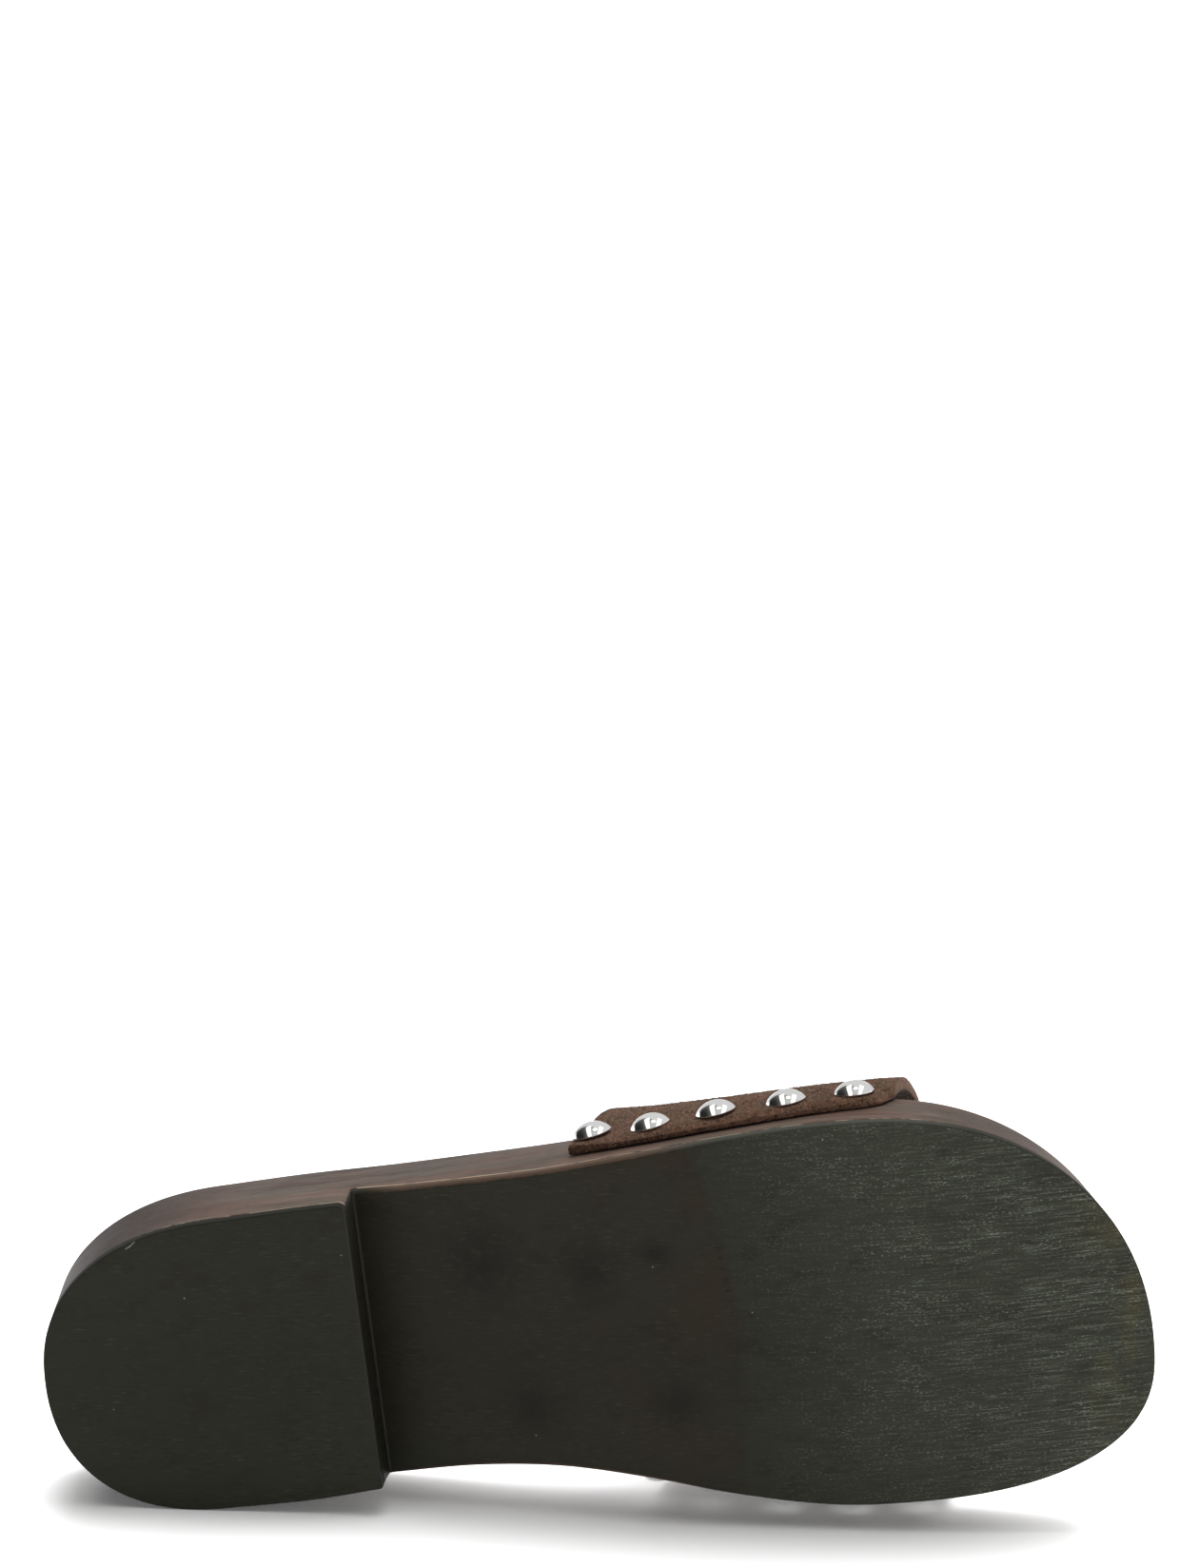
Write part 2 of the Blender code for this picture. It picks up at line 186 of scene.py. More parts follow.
def cornerCut(x, end, radius):  # how far a rounded corner draws the side in
    past = min(max(x - (end - radius), 0.0), radius)
    return radius - math.sqrt(radius**2 - past**2)


def rungOf(station):  # the two ends of a section, skewed near the breast
    near = max(0.0, 1 - abs(station - last["breast"]) / last["sides"][0][0])
    skew = last["breastSkew"] * near
    outer = Vector((station - skew, sideY(station - skew, "outer")))
    inner = Vector((station + skew, sideY(station + skew, "inner")))
    return outer, inner


touching = 1e-6  # points nearer than this are one


def heading(here, there):
    step = there - here
    return step.normalized() if step.length > touching else Vector((0, 0))


def inwardNormals(points, before, after):  # of one side, whose ends go on to before and after
    run = [before] + points + [after]
    normals = []
    for behind, here, ahead in zip(run, run[1:], run[2:]):
        along = (heading(here, ahead) + heading(behind, here)).normalized()
        normals.append(Vector((-along.y, along.x)))
    return normals


def sidesOf(stations):
    rungs = [rungOf(station) for station in stations]
    outer = [pair[0] for pair in rungs]
    inner = [pair[1] for pair in rungs]
    closedStart = (outer[0] - inner[0]).length < touching
    closedEnd = (outer[-1] - inner[-1]).length < touching
    startOuter = inner[1] if closedStart else outer[0]
    endOuter = inner[-2] if closedEnd else outer[-1]
    startInner = outer[1] if closedStart else inner[0]
    endInner = outer[-2] if closedEnd else inner[-1]
    outerNormals = inwardNormals(outer, startOuter, endOuter)
    innerNormals = [-n for n in inwardNormals(inner, startInner, endInner)]
    return outer, outerNormals, inner, innerNormals


def wrapGrid(rowCount, columnCount, place, marks=()):  # a grid laid over a shape, row by row
    bm = bmesh.new()
    bmesh.ops.create_grid(bm, x_segments=rowCount - 1, y_segments=columnCount - 1, size=0.5)
    layers = [bm.verts.layers.float.new(mark) for mark in marks]
    for vert in bm.verts:
        i = round((vert.co.x + 0.5) * (rowCount - 1))
        j = round((vert.co.y + 0.5) * (columnCount - 1))
        spot, values = place(i, j)
        vert.co = spot
        for layer, value in zip(layers, values):
            vert[layer] = value
    return bm


def addObject(name, data):
    thing = bpy.data.objects.new(name, data)
    bpy.context.scene.collection.objects.link(thing)
    return thing


def finishPiece(bm, name, material, nodes, sharpAngle=40.0, merge=0.004):
    bmesh.ops.remove_doubles(bm, verts=bm.verts, dist=merge)
    bmesh.ops.dissolve_degenerate(bm, edges=bm.edges, dist=merge / 4)
    bmesh.ops.holes_fill(bm, edges=[edge for edge in bm.edges if edge.is_boundary], sides=0)
    bmesh.ops.recalc_face_normals(bm, faces=bm.faces)
    bmesh.ops.transform(bm, matrix=toRow, verts=bm.verts)
    mesh = bpy.data.meshes.new(name)
    bm.to_mesh(mesh)
    bm.free()
    mesh.materials.append(material)
    mesh.shade_smooth()
    mesh.set_sharp_from_angle(angle=math.radians(sharpAngle))
    piece = addObject(name, mesh)
    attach(piece, "root")
    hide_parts(*nodes)
    print(name, len(mesh.polygons), "faces")


def shaderMaths(operation, swapped=False):  # one of Python's operators, for the values below
    def apply(self, other):
        first, second = (other, self) if swapped else (self, other)
        return self.maths(operation, first, second)

    return apply


class Value:  # a socket, so that shader maths reads as Python
    def __init__(self, recipe, socket):
        self.recipe = recipe
        self.socket = socket

    def maths(self, operation, first, second=0.0):
        return self.recipe.add("Math", {"operation": operation}, {0: first, 1: second})

    __add__ = shaderMaths("ADD")
    __radd__ = shaderMaths("ADD", swapped=True)
    __sub__ = shaderMaths("SUBTRACT")
    __rsub__ = shaderMaths("SUBTRACT", swapped=True)
    __mul__ = shaderMaths("MULTIPLY")
    __rmul__ = shaderMaths("MULTIPLY", swapped=True)
    __truediv__ = shaderMaths("DIVIDE")

    def __neg__(self):
        return self.maths("MULTIPLY", self, -1.0)

    def exp(self):
        return self.maths("EXPONENT", self)

    def size(self):
        return self.maths("ABSOLUTE", self)

    def fraction(self):
        return self.maths("FRACT", self)


class Recipe:  # the nodes of a material, or of the world
    def __init__(self, owner, look, shader="Principled BSDF"):
        owner.use_nodes = True
        self.owner = owner
        self.tree = owner.node_tree
        self.shader = self.tree.nodes[shader]
        self.look = look

    def feed(self, socket, value):
        if isinstance(value, str):  # the name of one of the look's own values
            value = self.look[value]
        if isinstance(value, Value):
            self.tree.links.new(value.socket, socket)
        else:
            socket.default_value = value

    def add(self, kind, settings, sockets, output=0):
        node = self.tree.nodes.new("ShaderNode" + kind)
        for key, value in settings.items():
            setattr(node, key, value)
        for key, value in sockets.items():
            self.feed(node.inputs[key], value)
        return Value(self, node.outputs[output])

    def set(self, **values):
        for key, value in values.items():
            self.feed(self.shader.inputs[key.replace("_", " ")], value)

    def standing(self):  # the shoe's own x, y and z in millimetres, whichever way it lies
        upright = turned.inverted()
        moved = -(upright @ Vector(lying["shift"]))
        spot = self.add("TexCoord", {}, {}, 3)
        sockets = {"Vector": spot, "Location": moved, "Rotation": upright.to_euler(), "Scale": [1 / mm] * 3}
        return self.parts(self.add("Mapping", {"vector_type": "POINT"}, sockets))

    def parts(self, spot):
        return [self.add("SeparateXYZ", {}, {"Vector": spot}, k) for k in range(3)]

    def point(self, x, y, z):
        return self.add("CombineXYZ", {}, {0: x, 1: y, 2: z})

    def noise(self, spot, grain):  # the grain's size along each part of the spot, detail, roughness
        *sizes, detail, roughness = grain
        place = self.point(*(part / size for part, size in zip(spot, sizes)))
        sockets = {"Vector": place, "Scale": 1.0, "Detail": detail, "Roughness": roughness}
        return self.add("TexNoise", {}, sockets)

    def grain(self, name, spot):
        return self.noise(spot, self.look["grains"][name])

    def cells(self, spot):
        return self.add("TexVoronoi", {"feature": "F1"}, {"Vector": spot, "Scale": 1.0})

    def ease(self, value, low, high, most=1.0):  # 0 below low, most above high, smooth between
        sockets = {"Value": value, "From Min": low, "From Max": high, "To Max": most}
        return self.add("MapRange", {"interpolation_type": "SMOOTHSTEP"}, sockets)

    def span(self, name, value):  # eased over one of the look's own spans
        return self.ease(value, *self.look["spans"][name])

    def within(self, name, value):  # eased in and out again over one of its stretches
        start, full, fading, end, *most = self.look["stretches"][name]
        return self.ease(value, start, full, *most) * self.ease(value, end, fading)

    def mark(self, name):
        return self.add("Attribute", {"attribute_name": name}, {}, 2)

    def mix(self, share, first, second):
        return self.add("Mix", {"data_type": "RGBA"}, {0: share, 6: first, 7: second}, 2)

    def bump(self, height, strength, depth):
        return self.add("Bump", {}, {"Height": height, "Strength": strength, "Distance": depth})


def tint(red, green, blue):  # an sRGB colour, 0 to 255, as the shader's linear one
    def linear(c):
        c = c / 255
        return c / 12.92 if c <= 0.04045 else ((c + 0.055) / 1.055) ** 2.4

    return (linear(red), linear(green), linear(blue), 1.0)


def atLeast(least, value):
    return least + (1 - least) * value


def startMaterial(name, look):
    return Recipe(bpy.data.materials.new(name), look)


# Stained wood: grey-brown with redder and greener clouds, a fine grain along the shoe, satin lacquer, and
# painted shade on the heel's rounded end
woodLook = {
    "brown": tint(65, 55, 49),
    "red": tint(72, 55, 47),
    "green": tint(61, 55, 47),
    "grey": tint(66, 62, 60),
    "toe": tint(50, 41, 36),
    "dark": tint(38, 30, 27),
    # painted shade for the heel's rounded end, which turns away from the light
    "heelShade": tint(30, 22, 20),
    "light": tint(92, 82, 76),
    "rawEdge": tint(186, 166, 142),
    "paint": tint(25, 24, 19),
    "brownShare": 0.35,
    "wander": {"upper": 8.0, "heel": 12.0},  # how far the clouds push these colours' edges
    "roughness": 0.46,
    "specular": 0.06,
    "bump": (0.5, 0.00006),
    "grains": {  # size along x, y and z, detail, roughness
        "clouds": (26.0, 12.0, 9.0, 3.0, 0.5),
        "bands": (34.0, 5.0, 4.0, 4.0, 0.65),
        "fibres": (14.0, 0.55, 0.55, 4.0, 0.6),
        "pores": (2.4, 0.22, 0.22, 1.0, 0.5),
        "wear": (6.0, 3.0, 3.0, 3.0, 0.65),
        "sheen": (9.0, 5.0, 5.0, 3.0, 0.6),
    },
    "spans": {  # where each starts, where it is full and, if less than 1, how strong it is there
        "green": (0.38, 0.62),
        "upper": (16.0, 38.0, 0.4),
        "toe": (198.0, 228.0, 0.8),
        "heel": (56.0, 18.0, 0.95),
        "darkBands": (0.5, 0.68, 0.55),
        "lightBands": (0.46, 0.3, 0.3),
        "fibres": (0.52, 0.72, 0.5),
        "pores": (0.66, 0.76, 0.4),
        "wear": (0.4, 0.56, 0.42),
        "paintTop": (17.4, 16.6),
    },
    "stretches": {  # where each starts, is full, fades and ends and, if less than 1, how strong it is
        "bands": (12.0, 44.0, 214.0, 246.0),
        "beside": (-0.4, 0.6, 20.0, 70.0, 0.4),
        "wear": (20.0, 34.0, 205.0, 222.0),
        "paint": (-0.7, -0.15, 0.8, 1.4),
    },
}


def atBreast(x, y):  # how far a place lies in front of the heel's skewed front face
    return x - last["breast"] - y * (last["breastSkew"] / last["breastHalf"])


def makeWood():
    recipe = startMaterial("stained_wood_satin", woodLook)
    spot = recipe.standing()
    x, y, z = spot
    grains = {name: recipe.grain(name, spot) for name in woodLook["grains"]}
    clouds = grains["clouds"]
    wander = woodLook["wander"]
    colour = recipe.mix(recipe.span("green", clouds), "red", "green")
    colour = recipe.mix("brownShare", colour, "brown")
    colour = recipe.mix(recipe.span("upper", z + wander["upper"] * clouds), colour, "grey")
    colour = recipe.mix(recipe.span("toe", x), colour, "toe")
    # painted shade: the wall darkens towards the heel's rounded end
    shadedHeel = recipe.span("heel", x + wander["heel"] * clouds) * (1 - recipe.mark("bed"))
    colour = recipe.mix(shadedHeel, colour, "heelShade")
    sideways = recipe.within("bands", x)
    colour = recipe.mix(recipe.span("darkBands", grains["bands"]) * sideways, colour, "dark")
    colour = recipe.mix(recipe.span("lightBands", grains["bands"]) * sideways, colour, "light")
    fibres = recipe.span("fibres", grains["fibres"])
    colour = recipe.mix(fibres, colour, "dark")
    pores = recipe.span("pores", grains["pores"])
    colour = recipe.mix(pores, colour, "dark")
    # the lower edge is rubbed down to the raw wood in places, most of all beside the heel
    ahead = atBreast(x, y)
    beside = recipe.within("beside", ahead)
    rubbed = recipe.span("wear", grains["wear"]) * recipe.within("wear", x)
    colour = recipe.mix(recipe.mark("joint") * (rubbed + beside), colour, "rawEdge")
    # the heel's front face is painted with the sole
    paint = recipe.within("paint", ahead) * recipe.span("paintTop", z)
    colour = recipe.mix(paint, colour, "paint")
    roughness = woodLook["roughness"] + 0.14 * grains["sheen"] + 0.2 * fibres
    height = 0.6 * grains["fibres"] - pores
    normal = recipe.bump(height, *woodLook["bump"])
    recipe.set(Base_Color=colour, Roughness=roughness, Specular_IOR_Level="specular", Normal=normal)
    return recipe.owner


# Dark rubber: smooth and brownish under the waist, sanded olive grey under the forefoot,
# green-black at the heel
rubberLook = {
    "heel": tint(28, 28, 21),
    "waist": tint(28, 27, 21),
    "waistBrown": tint(31, 26, 18),
    # painted light: paler towards the inner side, which lies nearest the shadowed floor
    "paintedFill": tint(60, 62, 54),
    "smudge": tint(19, 16, 11),
    "forefoot": tint(39, 41, 33),
    # light scratches, and the painted highlight on the grit's grains
    "scratchAndHighlight": tint(112, 116, 104),
    # dark scratches, and the painted shadow beside the grit's grains
    "darkScratchAndShade": tint(26, 27, 21),
    "olive": tint(60, 51, 28),
    "sideHeel": tint(24, 24, 21),
    "sideBrown": tint(62, 50, 42),
    "sideGreen": tint(47, 48, 43),
    "sideToe": tint(34, 34, 30),
    "frontEdge": tint(33, 33, 28),
    # the bead, coloured paler than the sole: a painted highlight along its edge
    "lip": tint(68, 64, 56),
    "dust": tint(140, 138, 128),
    "pinPrick": tint(8, 8, 6),
    "boundary": (163.2, 0.059, -0.0034),  # where the sanding starts, as a curve across the sole
    "bow": (0.05, -0.00013),  # how the scratches swing across the sole
    "smudges": (  # station, place across, reach
        (130.0, -17.8, 6.5),
        (104.0, -20.0, 9.0),
        (114.0, 15.0, 7.0),
        (146.0, -21.2, 3.5),
        (148.6, 15.0, 6.0),
    ),
    "nicks": (  # station, place across, direction in degrees, length
        (23.3, -30.6, -42.0, 2.4),
        (22.2, -29.8, -28.0, 1.6),
    ),
    "grains": {  # size along and across the sole, layer, detail, roughness
        "lines": (10.0, 0.4, 7.0, 3.0, 0.6),
        "grit": (0.75, 0.42, 2.0, 3.0, 0.65),
        "rows": (5.0, 0.9, 5.0, 2.0, 0.5),
        "patches": (18.0, 8.0, 3.0, 3.0, 0.6),
        "browning": (22.0, 18.0, 9.0, 2.0, 0.5),
        "stains": (9.0, 14.0, 1.0, 2.0, 0.5),
        "mottle": (10.0, 6.0, 4.0, 4.0, 0.65),
        "streaks": (3.5, 0.45, 6.0, 3.0, 0.65),
        "cuts": (3.0, 0.5, 8.0, 1.0, 0.5),
    },
    "smear": (4.0, 4.0, 1.0, 3.0, 0.6),
    "fray": (3.0, 1.2, 1.2, 3.0, 0.6),
    "gritShadeOffset": 0.26,  # the grit's shadows lie this far beside it
    "prickSpacing": 2.6,
    "dustSpacing": 8.0,
    "scratchShare": 0.36,
    "roughness": 0.5,
    "specular": 0.075,
    "bump": (0.3, 0.00004),
    "spans": {  # as for the wood
        "forefoot": (-1.0, 3.0),
        "heelEnd": (0.9, 0.5),
        "heelTop": (9.0, 7.0),
        "toe": (186.0, 246.0),
        "sanded": (0.0, 44.0),
        "rows": (0.4, 0.58),
        "patches": (0.36, 0.62),
        "broken": (0.4, 0.6),
        "lightLines": (0.48, 0.68),
        "darkLines": (0.5, 0.34),
        "gritHighlight": (0.5, 0.68, 0.5),
        "gritShade": (0.5, 0.68, 0.55),
        "browning": (0.4, 0.56),
        "browner": (124.0, 152.0),
        "tip": (238.0, 254.0),
        "stains": (0.46, 0.64, 0.4),
        "smear": (0.3, 0.5),
        "mottle": (0.48, 0.7, 0.4),
        "paintedFill": (0.0, 40.0, 0.15),
        "darkStreaks": (0.48, 0.34, 0.36),
        "lightStreaks": (0.56, 0.72, 0.07),
        "prickRow": (0.45, 0.2, 0.9),
        "prick": (0.09, 0.05),
        "cuts": (0.64, 0.72, 0.7),
        "cutsStart": (44.0, 60.0),
        "nick": (0.2, 0.08, 0.35),
        "dust": (0.03, 0.014, 0.5),
        "lipBase": (7.0, 9.0),
        "sideBrown": (2.0, 12.0),
        "sideGreen": (136.0, 164.0),
        "sideToe": (206.0, 224.0),
        "side": (0.4, 0.75),
        "front": (-0.3, -0.05),
        "frontEdge": (-0.4, -0.2),
        "frontEdgeTop": (0.6, 0.25),
    },
    "stretches": {"pricks": (-24.0, -22.0, -7.0, -5.0), "lip": (0.0, 0.15, 0.35, 0.6)},
}


def makeRubber():
    recipe = startMaterial("worn_dark_rubber", rubberLook)
    x, y, z = recipe.standing()
    swing, bend = rubberLook["bow"]
    across = y - (swing * x + bend * x * x)
    middle, slant, curve = rubberLook["boundary"]
    past = x - (middle + slant * y + curve * y * y)
    forefoot = recipe.span("forefoot", past)
    ahead = atBreast(x, y)
    heel = recipe.span("heelEnd", ahead) * recipe.span("heelTop", z)
    toe = recipe.span("toe", x)
    sanded = recipe.span("sanded", past)

    def flatGrain(name, beside):  # a pattern that lies in the sole's plane
        along, wide, layer, detail, roughness = rubberLook["grains"][name]
        return recipe.noise((x, beside, layer), (along, wide, 1.0, detail, roughness))

    def flatSpan(name, beside):
        return recipe.span(name, flatGrain(name, beside))

    # brushed along the shoe: long scratches at the toe, a fine grit in rows before them, its grains given a
    # painted highlight and a painted shadow beside each
    lines = flatGrain("lines", across)
    grit = flatGrain("grit", across)
    shadows = flatGrain("grit", across - rubberLook["gritShadeOffset"])
    rows = flatSpan("rows", across)
    some = flatSpan("patches", y)
    much = forefoot * atLeast(0.15, sanded) * atLeast(0.35, some)
    broken = atLeast(0.5, recipe.span("broken", grit))
    light = recipe.span("lightLines", lines) * broken * atLeast(0.3, toe) * much
    dark = recipe.span("darkLines", lines) * (0.1 + 0.5 * toe * sanded)
    colour = recipe.mix(forefoot * atLeast(0.3, sanded), "waist", "forefoot")
    browned = flatSpan("browning", y) * atLeast(0.4, recipe.span("browner", x))
    colour = recipe.mix((1 - forefoot) * browned, colour, "waistBrown")
    colour = recipe.mix(heel, colour, "heel")
    stained = flatSpan("stains", y) * recipe.span("tip", x)
    colour = recipe.mix(stained, colour, "olive")
    for station, off, reach in rubberLook["smudges"]:
        forth = (x - station) / reach
        beside = (y - off) / reach
        smear = recipe.span("smear", recipe.noise((x, y, station), rubberLook["smear"]))
        colour = recipe.mix((-(forth * forth + beside * beside)).exp() * smear, colour, "smudge")
    colour = recipe.mix(flatSpan("mottle", y), colour, "smudge")
    # painted light: the sole grows paler towards the inner side, where it lies by the floor's shadow
    colour = recipe.mix(recipe.span("paintedFill", y), colour, "paintedFill")
    colour = recipe.mix(dark, colour, "darkScratchAndShade")
    # painted shadow beside each grain of grit
    colour = recipe.mix(recipe.span("gritShade", shadows) * rows * much, colour, "darkScratchAndShade")
    colour = recipe.mix(light * rubberLook["scratchShare"], colour, "scratchAndHighlight")
    # light specks of sanded grit, partly a painted highlight on each grain
    colour = recipe.mix(recipe.span("gritHighlight", grit) * rows * much, colour, "scratchAndHighlight")
    # the smooth parts are faintly streaked too
    streaks = flatGrain("streaks", across)
    smooth = (1 - forefoot) * atLeast(0.4, some)
    colour = recipe.mix(recipe.span("darkStreaks", streaks) * smooth, colour, "smudge")
    colour = recipe.mix(recipe.span("lightStreaks", streaks) * smooth, colour, "scratchAndHighlight")
    # a few pin pricks along the edge of the sanding
    fromPrick = ((y / rubberLook["prickSpacing"]).fraction() - 0.5).size()
    pricks = recipe.span("prickRow", past.size()) * recipe.span("prick", fromPrick)
    pricks = pricks * recipe.within("pricks", y)
    colour = recipe.mix(pricks, colour, "pinPrick")
    # shavings left by the knife near the heel's front edge
    shaved = flatSpan("cuts", y) * recipe.span("cutsStart", x)
    colour = recipe.mix(shaved * heel, colour, "smudge")
    for station, off, angle, length in rubberLook["nicks"]:
        way = (math.cos(math.radians(angle)), math.sin(math.radians(angle)))
        along = (x - station) * way[0] + (y - off) * way[1]
        aside = (y - off) * way[0] - (x - station) * way[1]
        nick = recipe.span("nick", aside.size()) * recipe.ease(along.size(), length / 2, length / 3)
        colour = recipe.mix(nick, colour, "dust")
    # dust grains, few and far between, all over
    spacing = rubberLook["dustSpacing"]
    dust = recipe.cells(recipe.point(x / spacing, y / spacing, 0.0))
    colour = recipe.mix(recipe.span("dust", dust), colour, "dust")
    # the bead at the breast, paler than the sole as a painted highlight, then the sides: brown by the wood,
    # olive grey past the ball, dark at the toe
    lip = recipe.within("lip", ahead) * recipe.span("lipBase", z)
    colour = recipe.mix(lip, colour, "lip")
    sideColour = recipe.mix(recipe.span("sideBrown", ahead), "waist", "sideBrown")
    sideColour = recipe.mix(recipe.span("sideGreen", x), sideColour, "sideGreen")
    sideColour = recipe.mix(recipe.span("sideToe", x), sideColour, "sideToe")
    sideColour = recipe.mix(heel, sideColour, "sideHeel")
    side = recipe.mark("side")
    frayed = side + 0.5 * recipe.noise((x, y, z), rubberLook["fray"])
    colour = recipe.mix(recipe.span("side", frayed), colour, sideColour)
    # the heel's front face is dark, with a rubbed edge
    colour = recipe.mix(heel * recipe.span("front", ahead), colour, woodLook["paint"])
    edge = recipe.span("frontEdge", ahead) * recipe.span("frontEdgeTop", z)
    colour = recipe.mix(heel * edge, colour, "frontEdge")
    roughness = rubberLook["roughness"] + 0.12 * forefoot - 0.1 * light + 0.35 * side
    height = 0.5 * lines + grit * forefoot
    normal = recipe.bump(height, *rubberLook["bump"])
    recipe.set(Base_Color=colour, Roughness=roughness, Specular_IOR_Level="specular", Normal=normal)
    return recipe.owner


# Suede: brown with redder and darker patches, matt, with painted shade on its inner face and painted light
# on its rolled front edge
suedeLook = {
    "brown": tint(60, 46, 36),
    "red": tint(76, 49, 38),
    "olive": tint(50, 41, 29),
    "dark": tint(32, 23, 17),
    # tufts of nap, partly a painted highlight
    "light": tint(97, 75, 60),
    "cutEdge": tint(58, 39, 30),
    # painted light: the pared front edge is coloured paler where it rolls over
    "litRolledEdge": tint(90, 65, 53),
    "fibre": tint(84, 62, 50),
    # painted shade: the band's inner face is coloured dark for the shade beneath it
    "inside": tint(40, 31, 24),
    "grains": {  # size along x, y and z, detail, roughness
        "patches": (5.0, 5.0, 3.5, 4.0, 0.7),
        "flecks": (1.3, 1.3, 1.3, 4.0, 0.7),
        "tufts": (0.55, 0.55, 0.55, 2.0, 0.65),
        "fuzz": (0.3, 0.3, 0.3, 2.0, 0.6),
    },
    "spans": {  # as for the wood
        "patches": (0.32, 0.68),
        "rolled": (142.0, 172.0),
        "flecks": (0.46, 0.64, 0.8),
        "tufts": (0.5, 0.66, 0.75),
        "fibre": (0.4, 0.62),
    },
    "brownShare": 0.25,
    "edgeShare": 0.8,
    "roughness": 0.95,
    "specular": 0.08,
    "sheen": (0.03, 0.5),  # weight, roughness
    "bump": (1.0, 0.0004),
}


def makeSuede():
    recipe = startMaterial("brown_suede_nap", suedeLook)
    spot = recipe.standing()
    grains = {name: recipe.grain(name, spot) for name in suedeLook["grains"]}
    colour = recipe.mix(recipe.span("patches", grains["patches"]), "olive", "red")
    colour = recipe.mix("brownShare", colour, "brown")
    # painted shade on the band's inner face
    colour = recipe.mix(recipe.mark("inside"), colour, "inside")
    # the cut edge turns paler towards the front: painted light where the pared edge rolls over
    edgeColour = recipe.mix(recipe.span("rolled", spot[0]), "cutEdge", "litRolledEdge")
    colour = recipe.mix(recipe.mark("cut") * suedeLook["edgeShare"], colour, edgeColour)
    colour = recipe.mix(recipe.span("flecks", grains["flecks"]), colour, "dark")
    # light tufts in the nap, partly a painted highlight
    colour = recipe.mix(recipe.span("tufts", grains["tufts"]), colour, "light")
    height = 0.5 * grains["flecks"] + 0.3 * grains["tufts"] + 0.2 * grains["fuzz"]
    normal = recipe.bump(height, *suedeLook["bump"])
    recipe.set(Base_Color=colour, Roughness="roughness", Normal=normal)
    weight, roughness = suedeLook["sheen"]
    recipe.set(Specular_IOR_Level="specular", Sheen_Weight=weight, Sheen_Roughness=roughness)
    return recipe.owner


def makeFibre():
    recipe = startMaterial("brown_suede_fibre", suedeLook)
    patches = recipe.grain("patches", recipe.standing())
    colour = recipe.mix(recipe.span("fibre", patches), "fibre", "red")
    recipe.set(Base_Color=colour, Roughness=1.0, Specular_IOR_Level=0.0)
    return recipe.owner


# Polished steel, with the faintest wipe marks
steelLook = {
    "colour": (0.86, 0.86, 0.85, 1.0),
    "roughness": 0.05,
    "grains": {"wipes": (0.8, 0.8, 0.8, 2.0, 0.5)},
    "wipeShare": 0.05,
}


def makeSteel():
    recipe = startMaterial("polished_steel_dome", steelLook)
    wipes = recipe.grain("wipes", recipe.standing())
    roughness = steelLook["roughness"] + steelLook["wipeShare"] * wipes
    recipe.set(Base_Color="colour", Metallic=1.0, Roughness=roughness)
    return recipe.owner


wood = makeWood()
rubber = makeRubber()
suede = makeSuede()
fibre = makeFibre()
steel = makeSteel()
print("materials made")


def sectionLoop(outerRows, innerRows):  # the outer side's rows going up, then the inner side's coming down
    loop = [("outer", row) for row in outerRows]
    loop += [("inner", row) for row in reversed(innerRows[1:-1])]
    return loop + loop[:1]


def loftSections(stations, rowsAt, marks):
    # rowsAt(i, x, side) gives the rows: share of the way out from the middle, inset, height, mark values
    outer, outerNormals, inner, innerNormals = sidesOf(stations)
    loops = [sectionLoop(rowsAt(i, x, "outer"), rowsAt(i, x, "inner")) for i, x in enumerate(stations)]

    def place(i, j):
        side, (share, inset, height, values) = loops[i][j]
        ends = (outer[i] + outerNormals[i] * inset, inner[i] + innerNormals[i] * inset)
        middle = (ends[0] + ends[1]) / 2
        flat = middle.lerp(ends[0] if side == "outer" else ends[1], share)
        return leaning(flat.x, flat.y, height(flat.x)), values

    return wrapGrid(len(stations), len(loops[0]), place, marks)


def level(z):
    return lambda x: z


def breastStations(more=()):  # crowded into the rounded corners at the breast
    stations = {last["breast"]}
    for radius in list(last["breastCorner"].values()) + list(more):
        stations.update(cornerStations(last["breast"], radius))
    return sorted(stations)


# The wooden base
baseSizes = {
    "chamfer": 0.4,  # the worn lower edge
    "wearEnds": 0.1,  # above the chamfer
    "footing": 0.4,  # the lowest part of the wall, ahead of the heel
    "deck": 1.0,  # how far above the outsole the heel block ends
    "breastGap": 0.3,
    "liftGap": 0.12,
    "outsoleGap": 0.02,
    "rimRadius": 3.2,
    "rimSteps": 7,
    "wallSteps": 6,
    "bedSteps": 16,
    "underShares": (0.0, 0.5, 0.95),
    "blockShares": (0.33, 0.66, 0.99),
}


